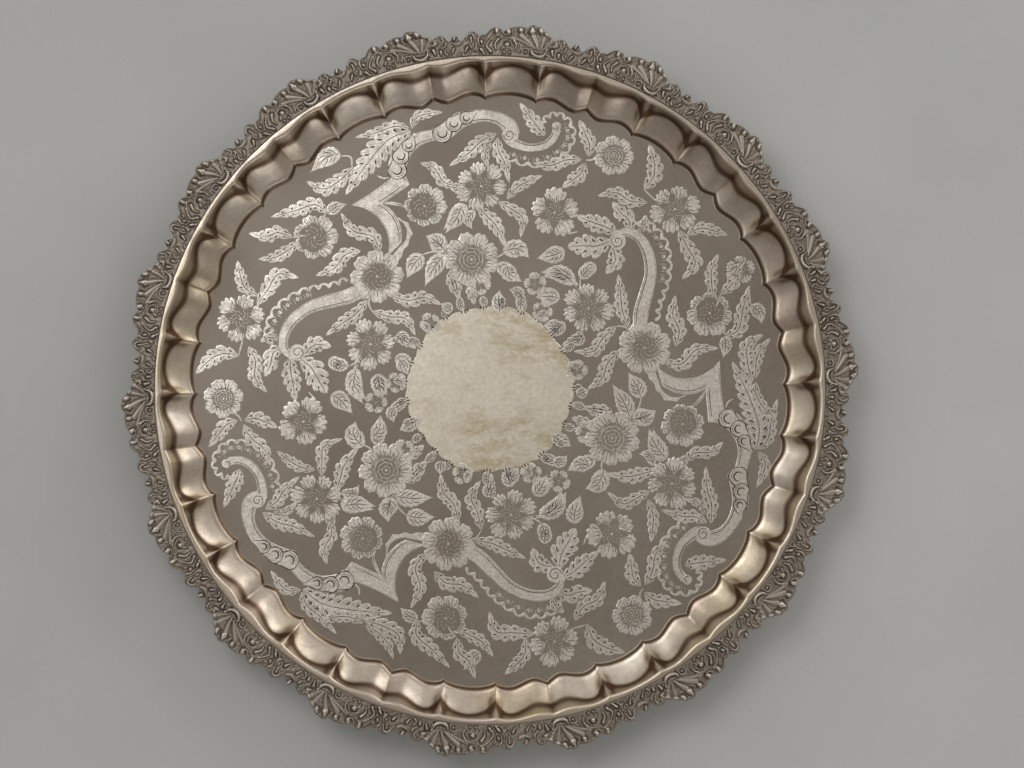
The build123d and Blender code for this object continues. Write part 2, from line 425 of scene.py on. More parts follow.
def tray_sheet():
    """The sheet as rings of points, from the middle of the well out to the flange and back under."""
    turns = SHEET_TURNS
    angle = np.arange(turns) * 360.0 / turns
    foot = outline(angle, FOOT_RADII)
    bend = outline(angle, BEND_RADII)
    crest = outline(angle, CREST_RADII)
    edge = foot + STEP_WIDTH
    flat = np.zeros(turns)
    # darker on both sides of the ridges that stand at the inward cusps, and in the groove at the outward
    # cusp: partly tarnish, partly painted shade
    turn = np.abs((angle - RIDGE_ANGLE + WALL_PERIOD / 2) % WALL_PERIOD - WALL_PERIOD / 2)
    from_ridge = np.abs(turn - OUTLINE_STEPS[3])
    beside = np.exp(-(((from_ridge - 0.9) / 0.55) ** 2)) + 0.5 * np.exp(-((turn / 0.5) ** 2))
    rows = []  # radius, height above the well, wall, painted shade and highlight (partly tarnish)
    for radius in WELL_RINGS:
        rows.append((flat + radius, flat, 0.0, flat))
    for out, height, polish, painted_light_and_tarnish in STEP_RINGS:
        rows.append((foot + out, flat + height, polish, flat + painted_light_and_tarnish))
    bend_rise = STEP_RISE + 0.45 * (bend - edge)
    wall_top = (crest - 3.4, flat + CREST_RISE - 1.7)
    wall = bent_line((edge, flat + STEP_RISE), (bend, bend_rise), wall_top, 2.0, WALL_ROWS)
    for index, (radius, height) in enumerate(wall[1:]):
        share = (index + 1) / (len(wall) - 1)
        # a dark band of painted shade on the steep upper wall under the crest, fading out before the crest,
        # plus the darkening by the ridges
        fading = 1 - 0.8 * float(smoothstep((share - 0.80) / 0.16))
        dark = 0.92 * float(smoothstep((share - 0.52) / 0.22)) * fading
        ridge_shade_and_tarnish = beside * float(smoothstep(share / 0.3)) * 0.75
        rows.append((radius, height, 1.0, np.clip(dark + ridge_shade_and_tarnish, 0, 1)))
    # the crest roll is lightened by a painted highlight
    for out, drop, dark in CREST_RINGS:
        rows.append((crest + out, flat + CREST_RISE - drop, 1.0, flat + dark))
    crest_top = crest + CREST_RINGS[-1][0]
    for share, drop, dark in CREST_END_RINGS:
        radius = crest_top + (CREST_END - crest_top) * share
        rows.append((radius, flat + CREST_RISE - drop, 1.0, flat + dark))
    # painted shade where the sheet meets the cast border
    rows.append((flat + CREST_END + 0.15, flat + FLANGE_RISE, 1.0, flat + 0.4))
    rows.append((flat + FLANGE_RADIUS, flat + FLANGE_RISE, 1.0, flat + 0.6))
    under = []
    for radius, height, _, _ in rows[::-1]:
        lower = np.minimum(radius + UNDER_OUT * smoothstep(height / STEP_RISE), FLANGE_RADIUS)
        under.append((lower, height - SHEET, 1.0, flat))
    rows += under
    across = np.radians(angle)
    points = np.concatenate([
        np.stack([r * np.cos(across), r * np.sin(across), WELL_TOP + h], 1) for r, h, _, _ in rows
    ])
    faces = grid_faces(len(rows), turns, closed=True)
    piece = make_piece("tray_sheet", points, faces, TRAY_METAL, "tray_body")
    add_attribute(piece, "wall", np.repeat([row[2] for row in rows], turns))
    # the painted shade and highlights, partly tarnish, that the sheet's material reads
    add_attribute(piece, "painted_light_and_tarnish", np.concatenate([row[3] for row in rows]))
    face_outward(piece)


tray_sheet()


# ---------------------------------------------------------------- the cast border

SECTIONS = 18
SECTION_ANGLE = 360 / SECTIONS
SHELL_ANGLE = 1.8  # the first shell's root stands here
SECTION_START = -4.87  # from the shell's root to the section's ends
SECTION_END = 15.07
BORDER_INNER = 341.0
BORDER_MIDDLE = 357.0  # where a degree is measured as a length
CASTING_GROUND = 1.5
CASTING_RELIEF = 3.7
LINE_SWELL = 1.25  # the raised lines are this much fuller than their listed widths
LONG_LINE = 3.5  # lines longer than this taper from head to tail
HEAD_SWELL = 1.25
TAIL_SWELL = 0.55
SECTION_COLUMNS = 262
EDGE_HEIGHT = 0.35  # the casting's thickness at its rim
BACK_RELIEF = 0.34  # the shade of the casting's back, as a share of the relief
NEARBY = 30.0  # a raised line further from the section than this isn't part of it

# The outer edge as lobes through (angle, radius) at start, middle and end
EDGE_LOBES = (
    ((-4.9, 358.0), (-3.5, 364.8), (-2.5, 361.2)),
    ((-2.5, 361.2), (-2.0, 364.2), (-1.55, 364.6)),
    ((-1.55, 364.6), (-1.0, 368.6), (-0.55, 369.2)),
    ((-0.55, 369.2), (0.1, 373.6), (0.65, 373.4)),
    ((0.65, 373.4), (1.35, 375.2), (2.2, 371.0)),
    ((2.2, 371.0), (4.2, 371.6), (6.0, 366.2)),
    ((6.0, 366.2), (7.2, 370.3), (8.9, 362.6)),
    ((8.9, 362.6), (9.4, 362.8), (10.0, 361.4)),
    ((10.0, 361.4), (11.2, 366.4), (12.5, 358.6)),
    ((12.5, 358.6), (12.9, 357.2), (13.3, 358.8)),
    ((13.3, 358.8), (14.0, 363.6), (14.6, 359.0)),
    ((14.6, 359.0), (14.9, 357.6), (15.1, 358.0)),
)
# Raised lines: points as (angle from the shell's root, height over the inner edge),
# half-width in mm, and height as a share of the relief
RELIEF_LINES = (
    # the shell: a crescent at its root, fluted rays and curled tips
    (((-1.25, 7.4), (-0.95, 3.6), (0.0, 1.5), (0.95, 3.6), (1.25, 7.4)), 1.35, 1.0),
    (((-1.9, 19.5), (-1.5, 15.0), (-0.7, 9.0)), 1.7, 0.44),
    (((-0.75, 21.5), (-0.6, 16.0), (-0.25, 9.0)), 1.8, 0.5),
    (((1.15, 22.5), (0.5, 15.0), (0.15, 9.0)), 1.9, 0.6),
    (((3.1, 21.5), (1.7, 15.0), (0.7, 9.6)), 1.9, 0.6),
    (((4.4, 18.8), (2.9, 15.5), (1.3, 10.6)), 1.5, 0.5),
    (((-2.75, 18.6), (-2.7, 17.0)), 1.5, 0.6),
    (((-2.0, 22.4), (-1.95, 20.4)), 1.7, 0.7),
    (((-1.15, 24.6), (-0.9, 26.0)), 1.9, 0.8),
    (((-0.05, 27.2), (0.1, 29.8)), 2.0, 0.92),
    (((1.35, 26.4), (1.5, 30.2)), 2.3, 1.0),
    (((2.45, 24.0), (2.35, 28.5)), 0.8, 0.55),
    (((3.2, 26.2), (3.25, 27.6)), 2.0, 0.9),
    (((4.2, 25.0), (4.1, 28.0)), 0.8, 0.5),
    # two beads in the shoulder, each in its own curl
    (((5.15, 23.6), (5.35, 26.4)), 2.0, 1.0),
    (((4.6, 29.0), (5.7, 28.6), (6.2, 25.6), (5.9, 22.0), (5.2, 20.6)), 0.7, 0.62),
    (((7.1, 23.8), (7.1, 26.8)), 1.8, 0.95),
    (((6.6, 28.6), (7.6, 28.8), (8.4, 24.5), (8.9, 20.5)), 0.7, 0.62),
    (((6.7, 21.5), (7.4, 19.5), (7.9, 15.0)), 0.9, 0.55),
    # the rosette: a ball between two scrolls, over small beads
    (((5.35, 11.0), (5.35, 11.1)), 2.3, 1.0),
    (((4.5, 9.0), (5.35, 7.6), (6.2, 9.0)), 0.6, 0.5),
    (((4.3, 16.4), (3.8, 11.0), (4.0, 5.6)), 1.0, 0.9),
    (((6.8, 16.4), (7.35, 11.0), (7.2, 5.6)), 1.1, 0.92),
    (((3.35, 4.6), (3.05, 9.0), (3.35, 14.0)), 0.8, 0.6),
    (((5.9, 9.0), (6.15, 6.4)), 1.0, 0.75),
    (((4.7, 8.6), (4.6, 6.0)), 0.7, 0.6),
    (((4.9, 2.9), (4.9, 3.0)), 1.2, 0.8),
    (((5.8, 2.9), (5.8, 3.0)), 1.2, 0.8),
    (((4.6, 17.2), (5.4, 18.6), (6.3, 17.2)), 0.8, 0.5),
    # a small hoop with a ball beside the shell
    (((1.6, 3.6), (1.7, 7.4), (2.2, 8.6), (2.75, 7.4), (2.85, 3.6)), 0.75, 0.62),
    (((2.15, 4.8), (2.15, 4.9)), 1.2, 0.8),
    # long leaves after the rosette
    (((8.2, 4.4), (8.75, 10.0), (7.7, 19.4)), 1.1, 0.8),
    (((8.2, 4.6), (8.1, 3.4)), 1.4, 0.95),
    (((9.75, 6.2), (9.5, 4.2)), 1.45, 1.0),
    (((9.3, 2.2), (9.15, 1.6)), 1.2, 0.9),
    (((10.5, 7.4), (10.2, 3.4), (9.6, 1.0)), 0.7, 0.5),
    (((9.65, 14.6), (9.55, 12.8)), 1.25, 0.85),
    (((8.9, 18.4), (9.1, 16.0)), 0.9, 0.6),
    (((9.8, 20.6), (10.15, 16.0), (10.0, 10.0)), 1.1, 0.7),
    (((10.75, 5.5), (10.45, 10.0), (10.7, 14.0)), 0.9, 0.7),
    (((10.8, 16.0), (10.95, 21.0), (11.5, 22.8), (12.0, 19.6), (12.05, 16.4)), 0.95, 0.68),
    (((11.35, 18.6), (11.3, 14.0), (11.6, 10.5)), 0.95, 0.7),
    (((12.0, 8.4), (12.45, 3.4)), 1.1, 0.95),
    (((11.5, 9.6), (11.3, 7.4)), 0.8, 0.7),
    (((11.3, 4.4), (11.9, 1.6)), 0.7, 0.5),
    (((13.2, 3.0), (13.6, 1.2)), 0.8, 0.6),
    # the curled tip in the valley, with leaves under it
    (((13.95, 21.0), (14.1, 17.8)), 1.3, 0.95),
    (((13.0, 17.4), (13.1, 14.2), (13.8, 12.8), (14.6, 14.6)), 1.3, 0.55),
    (((14.3, 8.0), (14.75, 3.0)), 1.0, 0.85),
    (((15.5, 2.6), (15.85, 5.5), (15.4, 9.5)), 0.95, 0.65),
    (((16.5, 6.8), (16.5, 3.2)), 1.25, 0.95),
    (((17.75, 9.4), (17.5, 4.2)), 1.25, 0.95),
    (((17.2, 15.6), (17.75, 13.6)), 1.5, 0.7),
    (((15.5, 14.6), (15.6, 12.0), (16.3, 9.4)), 1.0, 0.7),
    (((16.9, 24.5), (16.85, 17.5)), 0.8, 0.7),
    (((16.1, 20.6), (15.9, 17.0), (16.3, 13.0)), 1.0, 0.6),
    (((18.55, 10.6), (18.75, 7.0), (18.4, 3.4)), 1.0, 0.7),
    (((17.7, 20.0), (18.4, 17.0), (18.3, 13.0)), 1.1, 0.62),
)


def edge_radius(angle):
    """The section's outer edge: a parabola through each lobe's three points."""
    radius = np.zeros_like(angle)
    for (a0, r0), (a1, r1), (a2, r2) in EDGE_LOBES:
        inside = (angle >= a0) & (angle <= a2)
        t = angle[inside]
        radius[inside] = (
            r0 * (t - a1) * (t - a2) / ((a0 - a1) * (a0 - a2))
            + r1 * (t - a0) * (t - a2) / ((a1 - a0) * (a1 - a2))
            + r2 * (t - a0) * (t - a1) / ((a2 - a0) * (a2 - a1))
        )
    return radius


def distance_to_line(x, y, line):
    """The least distance from each point to a smoothed line, and how far along that is, 0 to 1."""
    line = np.array(line, float)
    if len(line) > 2:
        spans = np.linspace(0, len(line) - 1, 5 * len(line))
        line = np.stack([smooth_through(line[:, k], spans) for k in (0, 1)], 1)
    best = np.full(x.shape, 1e9)
    along = np.zeros(x.shape)
    for index, ((x0, y0), (x1, y1)) in enumerate(zip(line, line[1:])):
        dx, dy = x1 - x0, y1 - y0
        t = np.clip(((x - x0) * dx + (y - y0) * dy) / max(dx * dx + dy * dy, 1e-12), 0, 1)
        distance = np.hypot(x - x0 - t * dx, y - y0 - t * dy)
        along = np.where(distance < best, (index + t) / (len(line) - 1), along)
        best = np.minimum(best, distance)
    return best, along


def smooth_through(values, places):
    """Values at fractional places along a list, on a Catmull-Rom curve through it."""
    values = np.concatenate([[2 * values[0] - values[1]], values, [2 * values[-1] - values[-2]]])
    low = np.clip(places.astype(int), 0, len(values) - 4)
    t = places - low
    a, b, c, d = (values[low + k] for k in range(4))
    return 0.5 * (2 * b + (c - a) * t + (2 * a - 5 * b + 4 * c - d) * t**2 + (3 * b - a - 3 * c + d) * t**3)


def path_length(points):
    """The length of the straight pieces between points."""
    return float(np.linalg.norm(np.diff(np.array(points, float), axis=0), axis=1).sum())


def relief_height(angle, radius):
    """The casting's relief, 0 to 1, at angles from the shell's root."""
    per_degree = math.radians(1) * BORDER_MIDDLE
    x = angle * per_degree
    y = radius - BORDER_INNER
    relief = 0.27 + 0.04 * np.sin(x * 0.9 + y * 0.5) * np.sin(y * 0.7 - x * 0.3)
    moat = np.zeros_like(relief)
    raised = np.zeros_like(relief)
    for points, half_width, height in RELIEF_LINES:
        for turn in (-SECTION_ANGLE, 0.0, SECTION_ANGLE):
            line = [((a + turn) * per_degree, b) for a, b in points]
            if line[0][0] < x.min() - NEARBY or line[0][0] > x.max() + NEARBY:
                continue
            distance, along = distance_to_line(x, y, line)
            if path_length(line) > LONG_LINE:
                end = np.abs(2 * along - 1) ** 2 if len(line) > 3 else along
                swell = LINE_SWELL * (HEAD_SWELL - (HEAD_SWELL - TAIL_SWELL) * end)
            else:
                swell = LINE_SWELL
            share = distance / (half_width * swell)
            dome = np.sqrt(np.clip(1 - (share * 0.94) ** 2, 0, 1)) * (share < 1.06)
            raised = np.maximum(raised, height * dome)
            moat = np.maximum(moat, height * np.exp(-(((share - 1.2) * half_width / 0.6) ** 2)))
    return np.maximum(relief - 0.2 * moat, raised)


def border_mesh():
    """One section's points, faces and relief, with the shell's root on +X."""
    columns = SECTION_COLUMNS
    shares = np.concatenate([[0.0, 0.008, 0.022], np.linspace(0.04, 0.955, 66), [0.975, 0.99, 1.0]])
    angle = np.linspace(SECTION_START, SECTION_END, columns)
    edge = edge_radius(angle)
    grid_angle, grid_share = np.meshgrid(angle, shares)
    grid_radius = BORDER_INNER + grid_share * (edge[None, :] - BORDER_INNER)
    relief = relief_height(grid_angle, grid_radius)
    from_edge = (1 - grid_share) * (edge[None, :] - BORDER_INNER)
    from_inner = grid_share * (edge[None, :] - BORDER_INNER)
    relief = np.maximum(relief, 0.42 * np.exp(-(((from_edge - 1.1) / 0.9) ** 2)))
    relief = np.maximum(relief, 0.5 * np.exp(-((from_inner / 0.8) ** 2)))
    rim = np.sqrt(np.clip(from_edge / 1.3, 0, 1)) * np.sqrt(np.clip(0.7 + from_inner / 1.2, 0, 1))
    height = EDGE_HEIGHT + rim * (CASTING_GROUND + CASTING_RELIEF * relief - EDGE_HEIGHT)
    turn = np.radians(grid_angle)
    base = BORDER_LOW.z
    top = np.stack([grid_radius * np.cos(turn), grid_radius * np.sin(turn), base + height], -1)
    under = top[[-1, 0]].copy()
    under[:, :, 2] = base
    rows = np.concatenate([top, under, top[:1]])
    points = rows.reshape(-1, 3)
    faces = grid_faces(len(rows), columns)
    for column, order in ((0, 1), (columns - 1, -1)):
        ring = [row * columns + column for row in range(len(rows) - 1)]
        faces.append(tuple(ring[::order]))
    back = np.full((2, columns), BACK_RELIEF)
    values = np.concatenate([relief * rim, back, relief[:1] * rim[:1]]).ravel()
    return points, faces, values


def border_sections():
    """Each section is the same casting, turned to its place."""
    points, faces, relief = border_mesh()
    for index in range(SECTIONS):
        name = f"border_{index + 1:02d}"
        spun = turned(points, SHELL_ANGLE + index * SECTION_ANGLE)
        piece = make_piece(f"relief_{name}", spun, faces, BORDER_METAL, name)
        add_attribute(piece, "relief", relief)
        face_outward(piece)


border_sections()


# ---------------------------------------------------------------- the engraving

# The design repeats three times. Its points are in mm in two local views, each with +Y
# pointing outward from the middle: view A faces 135 degrees and view B 75 degrees.
THIRDS = 3
VIEW_A = 135.0
VIEW_B = 75.0
MEDALLION_RISE = 0.05
TASSELS = 9
STEM_RISE = 0.06
LEAF_RISE = 0.10
FLOWER_RISE = 0.20
STRAP_RISE = 0.30
STAGGER = 0.006  # plates that may cross differ in height by this much
STAGGER_STEPS = 14
OVER_STRAP = 0.09  # what lies on a strap stands this much higher
LINE_RISE = 0.02  # how far a dark line stands over the plate under it
SUNK = 0.05  # how far a plate's underside lies in the sheet
LOBE_LENGTH = 9.5  # of a leaf
LEAF_LEAN = 0.42
BUD_LEAN = 0.1
WAVE_LENGTH = 10.5  # of a frill
SMALL_FLOWER = 15  # a flower of less than this radius has fewer strokes
SMALL_VOLUTE = 6  # and a volute of less has a shorter spiral
STROKE_TURN = 2.4  # from one stroke in a flower's middle to the next, in radians
CURL_STEP = 0.03  # each curl stands this much higher than the one before
MEDALLION_RADIUS = 84.5
MEDALLION_SCALLOPS = 30

# Leaves: points from base to tip, and the full width
LEAVES_A = (
    (((-33, 254), (-40, 268), (-51, 274), (-62, 289)), 17),
    (((-31, 246), (-46, 248), (-60, 252), (-74, 263)), 15),
    (((10, 247), (7, 262), (-12, 272), (-34, 285)), 18),
    (((63, 261), (42, 262), (25, 267), (18, 285)), 19),
    (((131, 247), (108, 256), (75, 254), (37, 247)), 29),
    (((132, 250), (122, 262), (105, 270), (86, 282)), 15),
    (((133, 248), (145, 252), (156, 247), (168, 237)), 13),
    (((-101, 236), (-104, 252), (-98, 265), (-90, 277)), 15),
    (((-108, 230), (-88, 234), (-70, 237), (-58, 220)), 19),
    (((-144, 206), (-150, 190), (-162, 178), (-164, 159)), 17),
    (((-119, 181), (-131, 183), (-141, 177), (-154, 172)), 19),
    (((-117, 189), (-122, 197), (-132, 201)), 12),
    (((-121, 168), (-131, 158), (-139, 146), (-150, 132)), 21),
    (((-116, 160), (-114, 145), (-118, 130), (-121, 115)), 27),
    (((-110, 159), (-100, 160), (-92, 157), (-84, 146)), 21),
    (((-24, 154), (-42, 152), (-60, 155), (-80, 158)), 16),
    (((7, 195), (-8, 203), (-25, 201), (-44, 209)), 18),
    (((19, 179), (26, 196), (16, 215), (20, 237)), 17),
    (((-29, 142), (-20, 125), (-10, 112), (-15, 93)), 16),
    (((-33, 108), (-27, 98), (-24, 83)), 12),
    (((-4, 140), (5, 124), (19, 114), (26, 97)), 17),
    (((58, 115), (50, 105), (43, 86)), 13),
)
LEAVES_B = (
    (((-62, 257), (-76, 244), (-84, 230), (-100, 212)), 17),
    (((-60, 253), (-55, 240), (-46, 230), (-36, 211)), 16),
    (((-64, 246), (-68, 235), (-61, 220)), 11),
    (((-88, 193), (-102, 195), (-115, 206), (-130, 207)), 15),
    (((-34, 194), (-27, 208), (-17, 218), (-5, 227)), 14),
    (((-42, 189), (-27, 185), (-13, 179), (-10, 159)), 15),
    (((-60, 178), (-48, 171), (-36, 163), (-22, 145)), 18),
    (((34, 251), (33, 240), (27, 231), (18, 220)), 17),
    (((30, 253), (15, 249), (0, 239), (-18, 237)), 16),
    (((36, 258), (34, 270), (27, 280), (17, 293)), 17),
    (((100, 240), (106, 255), (103, 270), (93, 287)), 20),
    (((-13, 268), (-21, 273), (-32, 282), (-47, 294)), 18),
    (((-69, 106), (-62, 96), (-55, 82)), 14),
    (((-47, 104), (-44, 92), (-38, 80)), 13),
)
# Buds and heart-shaped leaves, in the same way
BUDS_A = (
    (((10, 246), (20, 245), (31, 239)), 13),
    (((-86, 119), (-92, 128), (-95, 138)), 14),
    (((-87, 111), (-97, 99), (-103, 81)), 18),
    (((49, 147), (36, 146), (20, 141)), 18),
    (((65, 131), (48, 129), (27, 122)), 18),
    (((69, 137), (69, 147), (65, 159)), 18),
    (((114, 155), (101, 149), (81, 146)), 18),
    (((29, 84), (28, 91), (27, 98)), 12),
    (((-44, 88), (-46, 79), (-49, 69)), 14),
    (((-70, 92), (-78, 82), (-86, 70)), 17),
    (((96, 86), (99, 74), (104, 60)), 15),
    (((118, 176), (124, 170), (128, 160)), 10),
)
BUDS_B = (
    (((-72, 177), (-79, 166), (-89, 146)), 17),
    (((-63, 174), (-67, 163), (-60, 154)), 11),
    (((-81, 126), (-91, 131), (-103, 136)), 18),
    (((-24, 141), (-9, 147), (4, 141)), 19),
    (((-17, 129), (-11, 120), (4, 115)), 17),
    (((37, 158), (27, 150), (11, 142)), 18),
    (((56, 127), (40, 133), (21, 125)), 17),
    (((45, 109), (34, 108), (20, 103)), 16),
    (((8, 99), (1, 104), (-8, 104)), 12),
    (((-10, 78), (-15, 90), (-17, 101)), 14),
    (((5, 104), (8, 93), (10, 81)), 11),
    (((56, 86), (51, 77), (45, 66)), 14),
    (((81, 76), (73, 72), (64, 69)), 13),
    (((73, 151), (65, 145), (57, 137)), 14),
)
# Flowers: kind, middle, radius, number of petals, first petal's angle, and the angle
# where the ring of petals is thinnest (or None for an even flower)
FLOWERS_A = (
    ("round", (-17, 238), 25, 7, 10, 155),
    ("ragged", (-130, 232), 27, 6, 30, None),
    ("round", (0, 164), 28, 8, 5, None),
    ("ragged", (-54, 119), 28, 7, 15, None),
    ("ragged", (4, 91), 12, 5, 0, None),
    ("ragged", (68, 84), 13, 5, 30, None),
)
FLOWERS_B = (
    ("ragged", (-63, 200), 28, 7, 12, None),
    ("round", (-114, 165), 24, 8, 12, 225),
    ("ringed", (-53, 124), 29, 9, 0, None),
    ("ragged", (17, 193), 27, 5, 30, None),
    ("ringed", (61, 266), 21, 7, 8, None),
    ("ragged", (17, 116), 13, 5, 40, None),
    ("ragged", (31, 91), 12, 5, 10, None),
)
# Straps: the left and right edges along each, with the double line by the right edge
STRAPS_A = (
    (((33, 235), (40, 222), (43, 206), (40, 191), (34, 181), (23, 171)),
     ((57, 213), (59, 205), (58, 194), (54, 184), (49, 177), (43, 171))),
    (((82, 226), (66, 228), (50, 231), (33, 235)), ((91, 207), (80, 209), (69, 211), (57, 213))),
    (((-124, 164), (-124, 182), (-111, 194), (-92, 199), (-70, 196), (-52, 188), (-34, 178), (-16, 171)),
     ((-119, 167), (-115, 177), (-107, 184), (-92, 187), (-74, 184), (-57, 174), (-39, 163), (-20, 157))),
)
STRAPS_B = (
    (((-155, 184), (-161, 197), (-159, 212), (-152, 226), (-141, 237), (-124, 245)),
     ((-134, 182), (-141, 192), (-142, 205), (-139, 217), (-131, 227), (-118, 235))),
    (((-122, 242), (-116, 256), (-107, 267), (-96, 272), (-80, 278),
      (-62, 279), (-48, 275), (-40, 266), (-39, 256)),
     ((-111, 233), (-105, 241), (-98, 251), (-90, 259), (-78, 265),
      (-66, 266), (-57, 262), (-50, 258), (-45, 255))),
    (((-54, 253), (-48, 248), (-37, 246), (-24, 247), (-10, 253), (-1, 263), (2, 277)),
     ((-47, 262), (-43, 258), (-35, 256), (-25, 256), (-14, 261), (-8, 269), (-7, 278))),
)
# A curl's middle line along and across its strap, and its half-width along that line, in radii
CURL_SPINE = ((-1.0, -0.1), (-0.4, -0.05), (0.3, 0.05), (1.0, 0.3), (1.8, 0.6))
CURL_WIDTHS = (
    (0.0, 0.1), (0.04, 0.42), (0.1, 0.68), (0.2, 0.92), (0.3, 1.0), (0.42, 0.97),
    (0.55, 0.8), (0.7, 0.52), (0.85, 0.27), (1.0, 0.05),
)
# Volutes: middle and radius. Curls on the straps: middle, radius, the strap's direction in
# degrees, and the order in which they overlap
VOLUTES_A = (((-113, 166), 8.5),)
VOLUTES_B = (((-49, 259), 7.5), ((-4, 280), 4.9))
CURLS_B = (
    ((-151, 194), 10.4, 92, 0), ((-151, 209), 9.0, 78, 1), ((-146, 222), 7.2, 62, 2),
    ((-116, 243), 10.4, 62, 0), ((-107, 256), 9.0, 46, 1), ((-96, 265), 7.2, 30, 2),
)
# Frills: the middle line of each scalloped ribbon. Stems below, in the same way
FRILLS_A = (
    ((-126, 191), (-121, 203), (-108, 211), (-92, 214), (-75, 211),
     (-60, 205), (-48, 197), (-36, 189), (-24, 184)),
)
FRILLS_B = (
    ((-48, 236), (-30, 234), (-10, 237), (5, 248), (14, 262),
     (15, 277), (5, 290), (-8, 292), (-17, 285), (-19, 275)),
)
# The small lobed ribbon that hangs beside a strap, between two edges
RIBBON = (
    ((57, 192), (58, 184), (55, 176), (47, 170), (37, 169), (26, 168)),
    ((59, 192), (62, 182), (59, 171), (49, 165), (38, 162), (26, 158)),
)
STEMS_A = (
    ((-33, 254), (-27, 250), (-22, 246)),
    ((9, 248), (4, 246), (-2, 243)),
    ((131, 247), (122, 243), (110, 246), (98, 250)),
    ((-86, 119), (-80, 117), (-74, 116)),
    ((-87, 111), (-82, 114), (-76, 114)),
    ((49, 147), (58, 142), (66, 133)),
    ((65, 131), (70, 131), (74, 128)),
    ((-29, 142), (-26, 150), (-20, 154)),
    ((58, 213), (64, 206), (69, 199), (72, 191)),
    ((59, 213), (66, 206), (70, 199), (72, 192)),
    ((74, 238), (76, 232), (81, 228)),
)
STEMS_B = (
    ((-81, 126), (-77, 124), (-73, 122)),
    ((-21, 141), (-25, 136), (-30, 132)),
    ((56, 127), (60, 124), (64, 121)),
    ((34, 254), (40, 256), (46, 262)),
    ((100, 240), (107, 236), (114, 232)),
    ((45, 180), (36, 176), (30, 178)),
)
SHARED_LEAVES = (
    (((60, 266), (45, 270), (34, 277), (24, 291)), 15),
    (((63, 264), (78, 262), (92, 266), (105, 275)), 14),
)
# What differs between the thirds, in view A: leaves, buds, flowers and stems
EXTRAS = (
    (
        (),
        ((((63, 281), (50, 288), (27, 289)), 19),),
        (),
        (((62, 279), (68, 271), (62, 263)),),
    ),
    (
        SHARED_LEAVES,
        ((((-60, 262), (-54, 270), (-48, 284)), 15),),
        (),
        (),
    ),
    (
        SHARED_LEAVES,
        ((((-14, 281), (-5, 287), (8, 287)), 15),),
        (("ragged", (-52, 280), 16, 5, 20, None),),
        (((-14, 281), (-22, 282), (-34, 284)),),
    ),
)


class Plates:
    """Collects thin closed plates, which become one piece."""

    def __init__(self):
        self.points = []
        self.faces = []
        self.crossed = 0

    def stagger(self):
        """A small height of its own for each motif, so that no two tops coincide."""
        self.crossed += 1
        return STAGGER * (self.crossed % STAGGER_STEPS)

    def strip(self, top, closed=False):
        """A plate under a grid of top points (rows, columns, 3), down into the sheet."""
        rows, columns = top.shape[:2]
        base = len(self.points)
        under = top[:, [0, -1]].copy()
        under[:, :, 2] = -SUNK
        ring = np.concatenate([top, under[:, ::-1]], 1)
        self.points.extend(ring.reshape(-1, 3).tolist())
        size = columns + 2
        for row in range(rows if closed else rows - 1):
            after = (row + 1) % rows
            for column in range(size):
                right = (column + 1) % size
                self.faces.append((
                    base + row * size + column, base + row * size + right,
                    base + after * size + right, base + after * size + column,
                ))
        if not closed:
            self.faces.append(tuple(base + column for column in reversed(range(size))))
            self.faces.append(tuple(base + (rows - 1) * size + column for column in range(size)))

    def band(self, left, right, rise, columns=(0.0, 0.04, 0.96, 1.0), heights=(0.5, 1.0, 1.0, 0.5)):
        """A plate between two edges of as many points each."""
        top = np.zeros((len(left), len(columns), 3))
        for index, (column, height) in enumerate(zip(columns, heights)):
            top[:, index, :2] = left + (right - left) * column
            top[:, index, 2] = rise * height
        self.strip(top)

    def line(self, points, width, rise, taper=0.6):
        """A thin tapered line, such as a cut or a stem."""
        path, across = smooth_path(points, 4 * len(points) - 2)
        share = np.linspace(0, 1, len(path))
        half = width / 2 * np.clip(np.sin(np.pi * (0.06 + 0.88 * share)) ** taper, 0.1, 1)
        side = across * half[:, None]
        self.band(path + side, path - side, rise, (0.0, 1.0), (1.0, 1.0))

    def ring(self, middle, inner, outer, rise, sides=28):
        """A flat ring; an inner radius near zero makes a disc."""
        turn = np.linspace(0, 2 * np.pi, sides, endpoint=False)
        top = np.zeros((sides, 4, 3))
        soft = min(0.3, (outer - inner) * 0.2)
        steps = ((inner, 0.7), (inner + soft, 1), (outer - soft, 1), (outer, 0.7))
        for index, (radius, height) in enumerate(steps):
            top[:, index, :2] = around(radius, turn, middle)
            top[:, index, 2] = rise * height
        self.strip(top, closed=True)


def smooth_path(points, count):
    """A smooth path through points, and the unit vectors that point to its left."""
    points = np.array(points, float)
    places = np.linspace(0, len(points) - 1, count)
    path = np.stack([smooth_through(points[:, k], places) for k in (0, 1)], 1)
    along = np.gradient(path, axis=0)
    along /= np.linalg.norm(along, axis=1)[:, None] + 1e-12
    return path, np.stack([-along[:, 1], along[:, 0]], 1)


def on_leaf(path, across, half, lean):
    """Places a point on a leaf: its row, and its share of the half-width to either side."""
    forward = np.stack([across[:, 1], -across[:, 0]], 1)

    def place(row, side):
        row = int(min(max(row, 0), len(path) - 1))
        return path[row] + across[row] * side * half[row] + forward[row] * abs(side) * half[row] * lean

    return place


def leaf_plate(plates, path, across, half, rise, lean):
    """A leaf's plate: two lobed sides that lean forward from a sunk midrib."""
    forward = np.stack([across[:, 1], -across[:, 0]], 1)
    columns = (-1.0, -0.88, -0.45, -0.06, 0.0, 0.06, 0.45, 0.88, 1.0)
    heights = (0.55, 0.97, 1.0, 0.95, 0.5, 0.95, 1.0, 0.97, 0.55)
    top = np.zeros((len(path), len(columns), 3))
    for index, (column, height) in enumerate(zip(columns, heights)):
        reach = half * column
        top[:, index, :2] = path + across * reach[:, None] + forward * (np.abs(reach) * lean)[:, None]
        top[:, index, 2] = rise * height
    plates.strip(top)


